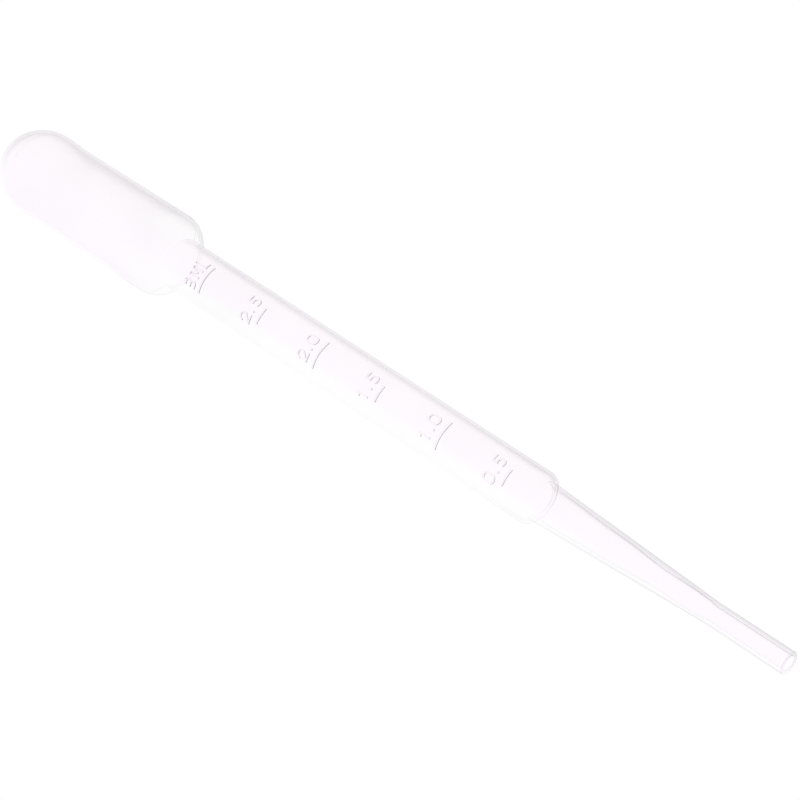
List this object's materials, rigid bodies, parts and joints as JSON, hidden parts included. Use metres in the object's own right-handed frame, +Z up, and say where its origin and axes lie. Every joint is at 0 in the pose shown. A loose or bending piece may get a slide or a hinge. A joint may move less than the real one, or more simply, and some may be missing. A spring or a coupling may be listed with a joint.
{
  "type": "medicine dropper",
  "caption": "One-piece translucent squeeze dropper with a hollow bulb, a graduated barrel in millilitres, a rounded step, a tapered stem and an open tip.",
  "frame": {"origin": "on the resting surface, under the middle of the dropper's box; the dropper's axis is 6.75 mm above it", "axes": "+X along the dropper from the closed bulb to the open tip, +Z up through the scale, +Y the way the numerals read"},
  "size_m": [0.1556, 0.0134, 0.0135],
  "materials": {
    "soft_plastic": "translucent low-density polyethylene, satin, blow-moulded",
    "raised_scale": "the same plastic, raised 0.15 mm as marks and numerals"
  },
  "bodies": {
    "dropper": {"bulb_dome": "soft_plastic", "bulb_left_wall": "soft_plastic", "bulb_right_wall": "soft_plastic", "bulb_shoulder": "soft_plastic", "barrel": "soft_plastic", "lower_step": "soft_plastic", "tapered_stem": "soft_plastic", "tip_tube": "soft_plastic", "mark_3_0": "raised_scale", "mark_2_5": "raised_scale", "mark_2_0": "raised_scale", "mark_1_5": "raised_scale", "mark_1_0": "raised_scale", "mark_0_5": "raised_scale", "numeral_3_ml": "raised_scale", "numeral_2_5": "raised_scale", "numeral_2_0": "raised_scale", "numeral_1_5": "raised_scale", "numeral_1_0": "raised_scale", "numeral_0_5": "raised_scale"},
    "thumb_wall": {"bulb_thumb_wall": "soft_plastic"},
    "finger_wall": {"bulb_finger_wall": "soft_plastic"}
  },
  "joints": [
    {"name": "thumb_press", "type": "slide", "parent": "dropper", "child": "thumb_wall", "axis": [0, 0, -1], "range_m": [0, 0.0045], "stiffness_N_per_m": 1000},
    {"name": "finger_press", "type": "slide", "parent": "dropper", "child": "finger_wall", "axis": [0, 0, 1], "range_m": [0, 0.0045], "stiffness_N_per_m": 1000}
  ],
  "couplings": [
    {"joint": "finger_press", "follows": "thumb_press", "ratio": 1}
  ]
}
